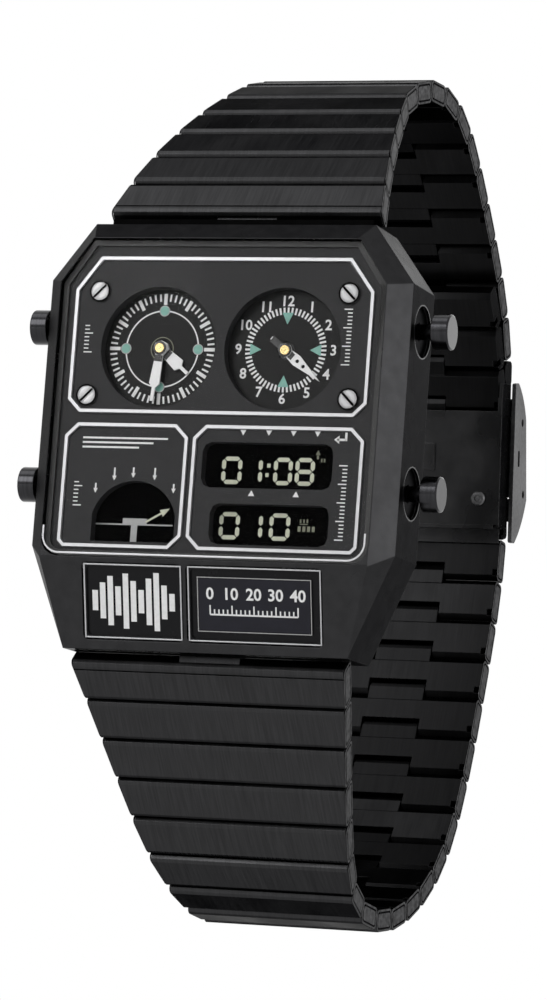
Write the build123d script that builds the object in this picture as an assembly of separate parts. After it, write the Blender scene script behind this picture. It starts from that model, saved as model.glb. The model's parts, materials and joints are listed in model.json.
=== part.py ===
"""A wristwatch with two small dials and two number panels, on a bracelet of folded slats.

Frame: +X to 3 o'clock, +Y from the dial to the wrist, +Z to 12 o'clock.
Origin: the middle of the case back's wrist face. Lengths are millimetres, angles are degrees.
"""
from build123d import *
from math import atan2, cos, degrees, hypot, radians, sin
import os

overrun = 1.0            # how far a cut runs past the material
running = 0.05           # radial clearance of a turning or sliding shaft
seat_gap = 0.10          # clearance round a piece that is set into another

# Flats that stand for small rounds, so that the many links stay light
shaft_sides = 8          # flats of a small bar or bore
ring_sides = 20          # flats of a screw head, a recess or a disc
corner_flats = 2         # flats of a rounded corner
true_turn = 15.0         # half of the true arc that a pivot's outline keeps

# Depths, from the wrist face at Y = 0 towards the viewer
back_plate = 1.3
side_depth = 6.25        # the case's flat side wall
bevel_rise = 2.2         # from the side wall's front edge to the bezel's front edge
dial_sink = 0.75         # the face plate lies this far behind the bezel's front edge
crystal_proud = 0.2
crystal_air = 0.2        # between crystal and face plate, filled by the seal at the rim
face_thick = 1.0
dial_thick = 0.3
panel_thick = 0.9
board_gap = 0.15
board_thick = 0.6
tray_gap = 0.15

# The case's outline, seen from the front
case_half = 16.5
case_end = 18.5          # half of the case's height
top_cut = 3.73           # width and height of the corners cut off at the 12 o'clock end
top_cut_high = 5.0
foot_cut = 3.6           # and at the 6 o'clock end
foot_cut_high = 8.78
top_half = case_half - top_cut
foot_half = case_half - foot_cut
shoulder_top = case_end - top_cut_high
shoulder_foot = case_end - foot_cut_high     # below the middle
foot_bevel = 1.1         # run of the narrow bevel along the lower corners
back_edge = 0.5

# The bezel's opening
bezel_side = 1.7         # the bezel's width at the sides and at the top
bezel_top = 1.65
slope_run = 7.7          # height of the slope at the foot
view_cut = 2.6           # width and height of the opening's cut corners
view_cut_high = 3.85
view_half = case_half - bezel_side
view_top = case_end - bezel_top
view_foot = slope_run - case_end
view_corner_half = view_half - view_cut
view_corner_z = view_top - view_cut_high
view_round = 1.6
view_flats = 4           # flats of the opening's lower corners
shelf = 1.2              # ledge that the face plate sits on
tray_inset = 1.9         # the movement's tray, inside the opening's outline
seal_wide = 0.5
crystal_edge = 0.12

# Case back and its screws
back_margin = 1.9        # from the case's side to the back plate's, and at the ends
back_margin_end = 2.1
back_screw_in = 2.2      # from the back plate's edges to the screws
back_screw_in_end = 3.2
boss_reach = 1.6         # the cut corners of the case's inside clear the screws by this sum
back_half = case_half - back_margin
back_end = case_end - back_margin_end
back_corner = 3.6
back_screw_x = back_half - back_screw_in
back_screw_z = back_end - back_screw_in_end
corner_boss = back_screw_x + back_screw_z - boss_reach
back_head_r = 0.95
back_head_deep = 0.5
back_shank_r = 0.5
back_shank_long = 1.9

# Silver frames on the face plate
line_wide = 0.42
line_high = 0.12
frame_margin = 1.17      # from the bezel's opening to the frame lines
frame_margin_top = 1.45
frame_margin_foot = 0.85
frame_split = 0.35       # between the two lower frames
frame_half = view_half - frame_margin
upper_frame_top = view_top - frame_margin_top
upper_frame_foot = 1.7
upper_frame_chamfer_x = 2.2
upper_frame_chamfer_z = 2.9
frame_chamfer = 1.15
lower_frame_top = 0.9
lower_frame_foot = view_foot + frame_margin_foot
right_frame_start = -1.85
left_frame_end = right_frame_start - frame_split
frame_round = 1.1

# Dials, hands and their drives
dial_shift = 1.165       # the dials' centres stand this far in from the middle of each half
dial_drop = 1.05         # and this far below the middle of the frame
dial_margin = 1.565      # from half of the frame's half width to a dial's radius
dial_x = frame_half / 2 - dial_shift
dial_z = (upper_frame_top + upper_frame_foot) / 2 - dial_drop
dial_hole_r = frame_half / 2 - dial_margin
dial_lip = 0.35
pipe_r = 0.70            # the hour hand's hollow pipe
pipe_bore_r = 0.40
arbor_r = 0.35
hand_thick = 0.15
hand_gap = 0.10
hub_r = 0.62
minute_air = 0.65        # from the hands' tips to the dials' holes
zone_air = 1.05
hour_short = 1.3         # the hour hand is this much shorter than the minute hand
minute_long = dial_hole_r - minute_air
minute_wide = 0.95
hour_long = minute_long - hour_short
hour_wide = 1.15
zone_long = dial_hole_r - zone_air
zone_wide = 1.0
zone_tail = 1.7
hand_point = 0.3         # width of a hand's tip
zone_eye_r = 0.17
zone_eye_shares = (0.35, 0.52)        # places of the two eyes along the blade
zone_widest_share = 0.33
hand_widest_share = 0.67
hand_neck_share = 0.75
hand_root_share = 0.67   # width at the pivot, of the hand's greatest width
minute_angle = 186.0     # clockwise from 12 o'clock
hour_angle = 130.0
zone_angle = 129.0
drive_inset = 1.05
drive_r = dial_hole_r - drive_inset
drive_deep = 3.0

# Number panels and the function window
panel_in_left = 1.0      # from the frame lines to the panels' edges
panel_in_right = 2.73
panel_in_top = 1.5
panel_in_foot = 0.6
lower_panel_in = 2.05
panel_tall = 3.9
panel_split = 1.35
panel_left = right_frame_start + panel_in_left
panel_right = frame_half - panel_in_right
upper_panel_top = lower_frame_top - panel_in_top
upper_panel_foot = upper_panel_top - panel_tall
lower_panel_left = right_frame_start + lower_panel_in
lower_panel_top = upper_panel_foot - panel_split
lower_panel_foot = lower_frame_foot + panel_in_foot
panel_round = 0.8
arch_in_left = 3.08      # from the left frame's lines to the function window
arch_in_right = 0.75
arch_in_top = 5.0
arch_side = 2.35
arch_left = arch_in_left - frame_half
arch_right = left_frame_end - arch_in_right
arch_foot = lower_frame_foot + panel_in_foot
arch_spring = arch_foot + arch_side
arch_top = lower_frame_top - arch_in_top
panel_margin = 0.2

# Slotted screws of the face plate
face_screw_in = (2.28, 3.1)           # from the upper frame's sides and its top
face_screw_in_low = (1.75, 1.55)      # and from its sides and its foot
face_screw_upper = (frame_half - face_screw_in[0], upper_frame_top - face_screw_in[1])
face_screw_lower = (frame_half - face_screw_in_low[0], upper_frame_foot + face_screw_in_low[1])
face_head_r = 0.8
face_head_high = 0.16
face_shank_r = 0.5
face_slot_wide = 0.22
face_slot_deep = 0.12
face_slot_turn = 45.0

# Framed plates on the sloping foot of the case
badge_in_left = 2.05     # from the case's foot corners to the plates
badge_in_right = 2.2
badge_ends = 1.2         # what the plates leave free of the slope's height
badge_left = badge_in_left - foot_half
badge_split = -1.6
badge_right = foot_half - badge_in_right
badge_gap = 0.5
badge_low = 0.95         # from the case's foot edge, along the slope
badge_tall = slope_run - badge_ends
badge_deep = 0.7
badge_sink = 0.12
badge_rim = 0.28
badge_floor = 0.2        # the field inside the bright rim lies this far behind it
badge_step = 0.75        # from the rim to the right plate's raised field
badge_round = 0.4

# Push buttons
button_down = 3.6        # from the shoulders to the buttons' axes
button_up = 5.72
button_rows = (shoulder_top - button_down, button_up - shoulder_foot)
button_y = -4.3
cap_r = 1.53
cap_long = 1.55
cap_edge = 0.15
button_travel = 0.8
cap_spare = 0.3          # left between cap and case wall when a button is pressed home
cap_stand = button_travel + cap_spare
stem_r = 0.7
stem_nose = 0.4          # the stem ends this far short of the case's inner wall
button_ring_r = 2.37
button_ring_deep = 0.35
contact_wide = 1.6
contact_thick = 0.15
contact_deep = 2.4

# Inside the case
battery_r = 4.75
battery_thick = 2.1
battery_side = 5.75      # from the case's side to the battery
battery_x = battery_side + battery_r - case_half
battery_z = -3.5
sensor_size = 1.6
sensor_thick = 0.5

# Bracelet. A slat's own directions are along the band and outwards, from its leading pin.
pitch = 4.12             # from one hinge pin to the next
slat_thick = 2.0
pin_inset = 0.70         # from the slat's inner face to the pin's centre
lead = 0.75              # from the pin to the slat's leading edge
slat_gap = 0.12          # between two slats when the band is straight
edge_round = 0.45
inner_cut = 0.5
pin_r = 0.35
bar_r = 0.45             # spring bars at the case
knuckle_r = 0.62
tongue_r = 0.68
throat = 0.3             # half width of the folded sheet's open seam, at a slat's ends
skin_gap = 0.12
link_half = 2.75         # half width of the connecting plates
link_side = 0.12
web_start = 0.85         # the solid rib between a slat's two notches
web_end = 1.45
pin_recess = 0.5         # the pin's end lies this far inside the slat's end
bar_reach = 2.0          # the spring bars go on this far into the first slats
seam_at = 0.8            # groove across the first slats' outer face, from the leading edge
seam_wide = 0.15
seam_deep = 0.18
band_inset = 0.94        # the first slats are this much narrower than the case's end
band_wide = 2 * top_half - band_inset
band_narrow = 16.4
upper_taper = 5.4        # how many slats the taper runs over
lower_taper = 6.5
upper_pin_out = 1.3      # from the case's ends to the spring bars
lower_pin_out = 0.8
upper_pin = (-4.05, case_end + upper_pin_out)
lower_pin = (-5.3, -case_end - lower_pin_out)
upper_turns = (51, 45, 40, 36, 32, 25, 16, 4, -10, -26, -38, -42, -44, -47, -54, -65)
lower_turns = (-49, -50, -50, -49, -44, -34, -20, -6, 6, 15, 23, 32, 43, 55, 63, 67, 70, 71, 73, 78, 86)
lower_pairs = (1, 3, 16, 18, 20)      # slats that share a node with the next one
hidden_turn = 105.0
hidden_links = 3
tail_turns = (109, 118, 132)

# Clasp. Its own directions are up along the band and outwards, from the lower band's last pin.
clasp_wall = 0.4
clasp_side = 0.12        # between a slat's end and the clasp's lugs
flange_gap = 0.1
floor_thick = 0.5
floor_back = -3.2        # the inner plate's wrist side
floor_low = 0.6
floor_high = 11.5
lug_low = (1.0, 3.2)     # start and end of the lower pair of lugs, along the clasp
lug_high = (11.1, 12.8)
lug_low_out = 1.45
lug_high_out = 1.5
cover_thick = 0.5
cover_in = -0.4          # the flanges' inner edge
cover_tip_low = (-1.3, 0.1)
cover_tip_high = (14.6, 0.1)
cover_bend_low = (3.2, 4.1)
cover_bend_high = (10.95, 3.25)
cover_plate_low = 3.4
cover_plate_high = 12.6
cover_bulge = 0.45       # how far the cover's ends bow out from a straight line
hinge_at = (2.1, 0.8)
slot_at = (7.1, 1.2)     # the small slot in the cover's flanges
slot_long = 1.5
slot_tall = 0.6
flap_at = 7.0            # the pressed tab on the inner plate
flap_long = 2.6
flap_half = 2.1
flap_deep = 0.2
hinge_stub_r = 0.4
catch_at = ((10.6, 2.1), (3.7, 2.95))
catch_r = 0.4
hook_bar_at = (12.0, 0.8)
hook_bar_r = 0.4
hook_r = 0.95
hook_half = 4.2
hook_slab = 0.7
end_link_long = 1.6

# Places worked out from the sizes above
seat_y = -back_plate
rim_y = seat_y - side_depth
bezel_y = rim_y - bevel_rise
face_y = bezel_y + dial_sink
crystal_front_y = bezel_y - crystal_proud
crystal_back_y = face_y - crystal_air
well_y = face_y + face_thick
board_y = well_y + panel_thick + board_gap
tray_y = board_y + board_thick + tray_gap
tray_back_y = seat_y - tray_gap
slat_out = slat_thick - pin_inset
slat_end = pitch - lead - slat_gap
wall_x = view_half - shelf


def outline(points):
    """A closed outline from the points of its right half, mirrored to the left."""
    left = [(-x, z) for x, z in reversed(points)]
    return Polygon(*points, *left, align=None)


def layer(sketch, front, back):
    """A flat piece of the sketch's shape from the depth front to the depth back."""
    return extrude(Plane.XZ.offset(-back) * sketch, back - front)


def rounded_corner(x, y, radius, start, count=corner_flats):
    """Points of a rounded corner about a centre, a quarter turn on from the start angle."""
    turns = [radians(start + step * 90 / count) for step in range(count + 1)]
    return [(x + radius * cos(turn), y + radius * sin(turn)) for turn in turns]


def rounded_box(left, right, foot, top, radius):
    west, east, south, north = left + radius, right - radius, foot + radius, top - radius
    points = rounded_corner(east, north, radius, 0) + rounded_corner(west, north, radius, 90)
    points += rounded_corner(west, south, radius, 180) + rounded_corner(east, south, radius, 270)
    return Polygon(*points, align=None)


def flats(radius, sides=shaft_sides):
    """A shaft's outline in flats, with its corners on the radius."""
    return RegularPolygon(radius, sides)


def flat_bore(radius, sides=shaft_sides):
    """A bore's outline in flats, which clear the radius."""
    return RegularPolygon(radius, sides, major_radius=False)


def pivot_outline(radius):
    """A shaft's outline in flats, with a true arc on the side of its X."""
    flat_turn = 360 / shaft_sides
    turns = [true_turn] + [step * flat_turn for step in range(1, shaft_sides)] + [-true_turn]
    corners = [(radius * cos(radians(turn)), radius * sin(radians(turn))) for turn in turns]
    return make_face(Polyline(*corners) + ThreePointArc(corners[-1], (radius, 0), corners[0]))


def behind(body, point, normal):
    """Keeps what lies behind a plane."""
    return split(body, bisect_by=Plane(origin=point, z_dir=normal), keep=Keep.BOTTOM)


def cross_bar(y, z, sketch, half):
    """A bar of the sketch's outline along X, centred on the middle plane."""
    return extrude(Plane(origin=(0, y, z), x_dir=(0, 1, 0), z_dir=(1, 0, 0)) * sketch, half, both=True)


def side_post(side, x, y, z, sketch, long):
    """A bar of the sketch's outline that starts at the distance x from the middle plane and runs outwards."""
    return extrude(Plane(origin=(side * x, y, z), x_dir=(0, 1, 0), z_dir=(side, 0, 0)) * sketch, long)


def stud(x, z, sketch, front, back):
    return layer(Pos(x, z) * sketch, front, back)


def chain(start, turns, step=pitch):
    """The pins of a run of links: one more than there are links."""
    pins = [start]
    for turn in turns:
        y, z = pins[-1]
        pins.append((y + step * cos(radians(turn)), z + step * sin(radians(turn))))
    return pins


upper_pins = chain(upper_pin, upper_turns)
lower_pins = chain(lower_pin, lower_turns)
hidden_pins = chain(lower_pins[-1], [hidden_turn] * hidden_links)
tail_pins = chain(hidden_pins[-1], tail_turns)
clasp_rise = (upper_pins[-1][0] - lower_pins[-1][0], upper_pins[-1][1] - lower_pins[-1][1])
clasp_turn = degrees(atan2(clasp_rise[1], clasp_rise[0]))
clasp_long = hypot(*clasp_rise)


def case_outline():
    return outline([(foot_half, -case_end), (case_half, -shoulder_foot), (case_half, shoulder_top),
                    (top_half, case_end)])


def view_outline():
    """The bezel's opening, with chamfered upper and rounded lower corners."""
    lower = rounded_corner(view_half - view_round, view_foot + view_round, view_round, 270, view_flats)
    return outline(lower + [(view_half, view_corner_z), (view_corner_half, view_top)])


def inside_outline(inset):
    """The case's inside, with its upper corners cut off for the back's screws."""
    reach = corner_boss - (inset - shelf) * hypot(1, 1)
    corners = outline([(reach, -case_end), (reach, 0), (0, reach)])
    return offset(view_outline(), -inset) & corners


def corner_cut(body, side, corner, wide, tall, run):
    """Bevels one slanted corner of the case. Tall is negative at the 6 o'clock end."""
    slant = hypot(wide, tall)
    normal = (side * bevel_rise * abs(tall) / slant, -run, bevel_rise * wide / slant * tall / abs(tall))
    return behind(body, (side * case_half, rim_y, corner), normal)


def bevelled_case():
    """The case's outer form: flat sides, a bevelled bezel and a long slope at the foot."""
    body = layer(case_outline(), bezel_y, seat_y)
    body = chamfer(body.faces().sort_by(Axis.Y)[-1].edges(), back_edge)
    body = behind(body, (0, rim_y, case_end), (0, view_top - case_end, bevel_rise))
    body = behind(body, (0, rim_y, -case_end), (0, -case_end - view_foot, -bevel_rise))
    wide, tall = case_half - top_half, case_end - shoulder_top
    run = ((case_half - view_half) * tall + (shoulder_top - view_corner_z) * wide) / hypot(wide, tall)
    for side in (-1, 1):
        body = behind(body, (side * case_half, rim_y, 0), (side * bevel_rise, view_half - case_half, 0))
        body = corner_cut(body, side, shoulder_top, wide, tall, run)
        low = shoulder_foot - case_end
        body = corner_cut(body, side, -shoulder_foot, case_half - foot_half, low, foot_bevel)
    return body


def lug(pin, side):
    """The tongue at one end of the case that holds a spring bar."""
    y, z = pin
    root = side * (case_end - overrun)
    block = Pos(0, y, (z + root) / 2) * Box(2 * link_half, 2 * tongue_r, abs(z - root))
    tongue = block + cross_bar(y, z, flats(tongue_r), link_half)
    return tongue - cross_bar(y, z, flat_bore(bar_r + running), link_half + overrun)


def badge_plane():
    """The sloping foot of the case. Its X runs to 3 o'clock and its Y up the slope, from the foot edge."""
    run = case_end + view_foot
    slope = hypot(bevel_rise, run)
    return Plane(origin=(0, rim_y, -case_end), x_dir=(1, 0, 0), z_dir=(0, -run / slope, -bevel_rise / slope))


def badge_boxes():
    """Left, right, foot and top of the two framed plates, on the slope."""
    half = badge_gap / 2
    top = badge_low + badge_tall
    left = (badge_left, badge_split - half, badge_low, top)
    right = (badge_split + half, badge_right, badge_low, top)
    return [left, right]


def grown(box, by):
    left, right, foot, top = box
    return left - by, right + by, foot - by, top + by


def on_slope(box, radius, low, high):
    """A rounded plate on the slope, between two heights over it."""
    return extrude(badge_plane().offset(low) * rounded_box(*box, radius), high - low)


def back_screw_places():
    return [(x, z) for x in (-back_screw_x, back_screw_x) for z in (-back_screw_z, back_screw_z)]


def case_body():
    body = bevelled_case()
    body -= layer(view_outline(), bezel_y - overrun, well_y)
    body -= layer(inside_outline(shelf), bezel_y - overrun, seat_y + overrun)
    for box in badge_boxes():
        body -= on_slope(grown(box, seat_gap), badge_round, -badge_deep, overrun)
    for side in (-1, 1):
        for row in button_rows:
            through = case_half - wall_x + 2 * overrun
            body -= side_post(side, wall_x - overrun, button_y, row, flat_bore(stem_r + running), through)
            recess = RegularPolygon(button_ring_r, ring_sides)
            body -= side_post(side, case_half - button_ring_deep, button_y, row, recess, overrun)
    for x, z in back_screw_places():
        body -= stud(x, z, flat_bore(back_shank_r + running), seat_y - back_shank_long, seat_y + overrun)
    return body + lug(upper_pin, 1) + lug(lower_pin, -1)


def caseback():
    corner = (back_half - back_corner, back_end)
    low = [(corner[0], -back_end), (back_half, back_corner - back_end)]
    sketch = outline([*low, (back_half, back_end - back_corner), corner])
    plate = layer(sketch, seat_y, 0)
    plate = chamfer(plate.faces().sort_by(Axis.Y)[-1].edges(), back_edge)
    for x, z in back_screw_places():
        plate -= stud(x, z, flat_bore(back_head_r + running, ring_sides), -back_head_deep - running, overrun)
        plate -= stud(x, z, flat_bore(back_shank_r + running), seat_y - overrun, overrun)
    return plate


def caseback_screws():
    made = []
    for x, z in back_screw_places():
        head = stud(x, z, flats(back_head_r, ring_sides), -back_head_deep, 0)
        made.append(head + stud(x, z, flats(back_shank_r), seat_y - back_shank_long + running, -back_head_deep))
    return made


def crystal():
    glass = layer(offset(view_outline(), -seat_gap), crystal_front_y, crystal_back_y)
    return chamfer(glass.faces().sort_by(Axis.Y)[0].edges(), crystal_edge)


def seals():
    """The flat ring that the crystal is pressed on."""
    ring = offset(view_outline(), -seat_gap) - offset(view_outline(), -seat_gap - seal_wide)
    return layer(ring, crystal_back_y, face_y)


def arch_outline(margin=0):
    left, right, foot = arch_left - margin, arch_right + margin, arch_foot - margin
    sides = Polyline((left, arch_spring), (left, foot), (right, foot), (right, arch_spring))
    bow = ThreePointArc((left, arch_spring), ((left + right) / 2, arch_top + margin), (right, arch_spring))
    return make_face(sides + bow)


def upper_panel(margin=0):
    foot, top = upper_panel_foot - margin, upper_panel_top + margin
    return rounded_box(panel_left - margin, panel_right + margin, foot, top, panel_round)


def lower_panel(margin=0):
    return rounded_box(lower_panel_left - margin, panel_right + margin, lower_panel_foot - margin,
                       lower_panel_top + margin, panel_round)


def face_screw_places():
    return [(side * x, z) for side in (-1, 1) for x, z in (face_screw_upper, face_screw_lower)]


def faceplate():
    sketch = offset(view_outline(), -seat_gap) - upper_panel() - lower_panel() - arch_outline()
    for x in (-dial_x, dial_x):
        sketch -= Pos(x, dial_z) * Circle(dial_hole_r)
    for x, z in face_screw_places():
        sketch -= Pos(x, z) * flat_bore(face_shank_r + running)
    return layer(sketch, face_y, well_y)


def lined(sketch):
    """A frame line of the face plate, just inside the outline given."""
    return layer(sketch - offset(sketch, -line_wide), face_y - line_high, face_y)


def chamfered(left, right, foot, top, cuts):
    """A box with its corners cut: lower left, lower right, upper right, upper left, as pairs of X and Z."""
    (ax, az), (bx, bz), (cx, cz), (dx, dz) = cuts
    low = [(left, foot + az), (left + ax, foot), (right - bx, foot), (right, foot + bz)]
    high = [(right, top - cz), (right - cx, top), (left + dx, top), (left, top - dz)]
    return Polygon(*low, *high, align=None)


def face_frames():
    plain = (frame_chamfer, frame_chamfer)
    high = (upper_frame_chamfer_x, upper_frame_chamfer_z)
    soft = (frame_round / 2, frame_round / 2)
    upper = chamfered(-frame_half, frame_half, upper_frame_foot, upper_frame_top, (plain, plain, high, high))
    low, top = lower_frame_foot, lower_frame_top
    left = chamfered(-frame_half, left_frame_end, low, top, (soft, plain, plain, plain))
    right = chamfered(right_frame_start, frame_half, low, top, (plain, soft, plain, plain))
    return [lined(sketch) for sketch in (upper, left, right)]


def screws():
    """The face plate's slotted screws and the case back's."""
    made = caseback_screws()
    top = face_y - face_head_high
    for x, z in face_screw_places():
        head = stud(x, z, flats(face_head_r, ring_sides), top, face_y)
        screw = head + stud(x, z, flats(face_shank_r), face_y, well_y)
        turn = -face_slot_turn if x > 0 else face_slot_turn
        slot = Pos(x, z) * Rot(0, 0, turn) * Rectangle(2 * face_head_r + overrun, face_slot_wide)
        made.append(screw - layer(slot, top - overrun, top + face_slot_deep))
    return made


def subdials():
    """Two thin discs behind the holes of the face plate, bored for the hands."""
    discs = []
    for x in (-dial_x, dial_x):
        disc = stud(x, dial_z, flats(dial_hole_r + dial_lip, ring_sides), well_y, well_y + dial_thick)
        discs.append(disc - stud(x, dial_z, flat_bore(pipe_r + running), well_y - overrun, well_y + overrun))
    return discs


def display_panels():
    """The two number panels and the function window's panel, behind the face plate."""
    sketches = (upper_panel(panel_margin), lower_panel(panel_margin), arch_outline(panel_margin))
    return [layer(sketch, well_y, well_y + panel_thick) for sketch in sketches]


def badge_plates():
    """Two inlaid plates with a raised bright rim. The right one has a raised field."""
    plates = []
    for box, step in zip(badge_boxes(), (0, badge_step)):
        plate = on_slope(box, badge_round, -badge_deep, -badge_sink)
        field = grown(box, -badge_rim)
        plate -= on_slope(field, badge_round - badge_rim / 2, -badge_sink - badge_floor, overrun)
        if step:
            plate += on_slope(grown(field, -step), badge_rim, -badge_sink - badge_floor, -badge_sink)
        plates.append(plate)
    return plates


def hand_blade(long, wide):
    """A hand that widens towards its end and closes to a narrow tip, drawn upwards from its pivot."""
    root, most, tip = hand_root_share * wide / 2, wide / 2, hand_point / 2
    widest, neck = hand_widest_share * long, hand_neck_share * long
    right = [(root, 0), (most, widest), (tip, neck), (tip, long)]
    return outline(right)


def turned(x, angle, sketch):
    """A sketch drawn upwards from a dial's centre, turned clockwise by the angle."""
    return Pos(x, dial_z) * Rot(0, 0, -angle) * sketch


hour_y = well_y - hand_gap - hand_thick
minute_y = hour_y - hand_gap - hand_thick
drive_y = well_y + dial_thick


def hour_hand():
    """The lower hand, on a hollow pipe that goes through the dial."""
    hand = layer(turned(-dial_x, hour_angle, hand_blade(hour_long, hour_wide)), hour_y, hour_y + hand_thick)
    hand += stud(-dial_x, dial_z, flats(pipe_r), hour_y, drive_y + drive_deep / 3)
    return hand - stud(-dial_x, dial_z, flat_bore(pipe_bore_r), hour_y - overrun, drive_y + drive_deep)


def minute_hand():
    """The upper hand, on an arbor that runs in the hour hand's pipe."""
    blade = turned(-dial_x, minute_angle, hand_blade(minute_long, minute_wide))
    hand = layer(blade, minute_y, minute_y + hand_thick)
    hand += stud(-dial_x, dial_z, pivot_outline(hub_r), minute_y - hand_thick, minute_y)
    return hand + stud(-dial_x, dial_z, flats(arbor_r), minute_y, drive_y + drive_deep / 2)


def zone_hand():
    """The right dial's hand: a pointed blade with two eyes and a thin tail."""
    widest = zone_widest_share * zone_long
    blade = outline([(hand_point / 2, -zone_tail), (zone_wide / 2, widest), (0, zone_long)])
    for share in zone_eye_shares:
        blade -= Pos(0, share * zone_long) * flats(zone_eye_r)
    hand = layer(turned(dial_x, zone_angle, blade), hour_y, hour_y + hand_thick)
    hand += stud(dial_x, dial_z, pivot_outline(hub_r), hour_y - hand_thick, hour_y)
    return hand + stud(dial_x, dial_z, flats(arbor_r), hour_y, drive_y + drive_deep / 2)


def hand_drives():
    """One geared drive behind each dial, bored for the hands' arbors."""
    left, right = [stud(x, dial_z, flats(drive_r, ring_sides), drive_y, drive_y + drive_deep)
                   for x in (-dial_x, dial_x)]
    arbor_bore = flat_bore(arbor_r + running)
    left -= stud(-dial_x, dial_z, flat_bore(pipe_r + running), drive_y - overrun, drive_y + drive_deep / 2)
    left -= stud(-dial_x, dial_z, arbor_bore, drive_y, drive_y + 2 * drive_deep / 3)
    return [left, right - stud(dial_x, dial_z, arbor_bore, drive_y - overrun, drive_y + 2 * drive_deep / 3)]


def circuit_board():
    """The board behind the panels, with round openings for the drives and a sensor on its back."""
    sketch = inside_outline(tray_inset)
    for x in (-dial_x, dial_x):
        sketch -= Pos(x, dial_z) * flat_bore(drive_r + seat_gap, ring_sides)
    board = layer(sketch, board_y, board_y + board_thick)
    sensor = layer(Pos(dial_x, battery_z) * Rectangle(sensor_size, sensor_size), board_y + board_thick,
                   board_y + board_thick + sensor_thick)
    return [board, sensor]


def movement_tray():
    """The moulded tray that carries board, drives and battery."""
    tray = layer(inside_outline(tray_inset), tray_y, tray_back_y)
    for x in (-dial_x, dial_x):
        drive = flat_bore(drive_r + seat_gap, ring_sides)
        tray -= stud(x, dial_z, drive, tray_y - overrun, drive_y + drive_deep)
    cell = flat_bore(battery_r + seat_gap, ring_sides)
    tray -= stud(battery_x, battery_z, cell, tray_back_y - battery_thick, tray_back_y + overrun)
    pocket = sensor_size + 2 * seat_gap
    sensor = Pos(dial_x, battery_z) * Rectangle(pocket, pocket)
    return tray - layer(sensor, tray_y - overrun, tray_y + sensor_thick)


def battery():
    return stud(battery_x, battery_z, flats(battery_r, ring_sides), tray_back_y - battery_thick, tray_back_y)


def button(side, row):
    """A push button: a turned cap on a stem that slides through the case wall."""
    cap = side_post(side, case_half + cap_stand, button_y, row, flats(cap_r, ring_sides), cap_long)
    end = cap.faces().sort_by(Axis.X)[-1 if side > 0 else 0]
    cap = chamfer(end.edges(), cap_edge)
    start = wall_x + stem_nose
    return cap + side_post(side, start, button_y, row, flats(stem_r), case_half + cap_stand - start)


def contact_springs():
    """Four leaf springs on the tray's edge, one behind each button."""
    leaves = []
    x = view_half - tray_inset
    for side in (-1, 1):
        for row in button_rows:
            leaf = Box(contact_thick, contact_deep, contact_wide)
            leaves.append(Pos(side * (x + contact_thick / 2), button_y, row) * leaf)
    return leaves


def bar_half():
    return link_half + link_side + bar_reach


def spring_bars():
    return [cross_bar(*pin, pivot_outline(bar_r), bar_half()) for pin in (upper_pin, lower_pin)]


def link_plane(pin, turn, side):
    """The plane of a slat's end outline: X along the band, Y outwards. Side is 1 above the case, -1 below."""
    return Plane(origin=(0, *pin), x_dir=(0, cos(radians(turn)), sin(radians(turn))), z_dir=(side, 0, 0))


def band_half(index, taper):
    """Half of the band's width at a pin."""
    return (band_narrow + (band_wide - band_narrow) * max(0, 1 - index / taper)) / 2


def slat_profile(end=slat_end):
    """A slat's end outline, with rounded outer corners."""
    high = slat_out - edge_round
    points = rounded_corner(end - edge_round, high, edge_round, 0)
    points += rounded_corner(edge_round - lead, high, edge_round, 90)
    points += [(-lead, inner_cut - pin_inset), (inner_cut - lead, -pin_inset)]
    points += [(end - inner_cut, -pin_inset), (end, inner_cut - pin_inset)]
    return Polygon(*points, align=None)


def notch(start, end, ceiling):
    """A cut for a connecting plate, from the slat's inner face up to the ceiling."""
    foot = -pin_inset - overrun
    return Pos((start + end) / 2, (foot + ceiling) / 2) * Rectangle(end - start, ceiling - foot)


def slat(plane, halves):
    """One folded slat, notched for the plate of the link before it."""
    first, last = halves
    body = extrude(plane * slat_profile(), max(halves), both=True)
    if first != last:
        slope = (last - first) / pitch
        start, end = first - slope * lead, first + slope * slat_end
        plan = Polygon((-lead, -start), (slat_end, -end), (slat_end, end), (-lead, start), align=None)
        flat = Plane(origin=plane.origin, x_dir=plane.x_dir, z_dir=plane.y_dir)
        body &= extrude(flat * plan, slat_thick, both=True)
    opening = notch(-lead - overrun, web_start, knuckle_r + skin_gap)
    return body - extrude(plane * opening, link_half + link_side, both=True)


def connector(plane, from_slat=web_end):
    """The plate that reaches the next link's pin, with a round end bored for it."""
    end = Pos(pitch, 0) * pivot_outline(knuckle_r)
    plate = Pos((from_slat + pitch) / 2, 0) * Rectangle(pitch - from_slat, 2 * knuckle_r) + end
    return extrude(plane * (plate - Pos(pitch, 0) * flat_bore(pin_r + running)), link_half, both=True)


def link(pin, turn, side, halves, at_case=False, joined=True):
    """One link: a slat with its pin and the plate to the next one. Halves: half widths at the two pins."""
    plane = link_plane(pin, turn, side)
    body = slat(plane, halves)
    if joined:
        body += connector(plane)
    if at_case:
        body -= extrude(plane * flat_bore(bar_r + running), bar_half() + running, both=True)
        groove = Pos(seam_at - lead, slat_out) * Rectangle(seam_wide, 2 * seam_deep)
        return body - extrude(plane * groove, max(halves) + overrun, both=True)
    fold = extrude(plane * notch(-throat, throat, pin_r), max(halves) + overrun, both=True)
    body -= fold - extrude(plane * notch(-pitch, pitch, slat_out), min(halves) - pin_recess, both=True)
    return body + extrude(plane * flats(pin_r), link_half + link_side + running, both=True)


def band_link(index, pins, turns, side, taper, joined=True):
    """One link, by its place in the band, from 1 at the case."""
    halves = (band_half(index - 1, taper), band_half(index, taper))
    return link(pins[index - 1], turns[index - 1], side, halves, index == 1, joined)


def upper_links():
    for index in range(1, len(upper_turns) + 1):
        yield f"upper_link_{index:02d}", band_link(index, upper_pins, upper_turns, 1, upper_taper)


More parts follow.
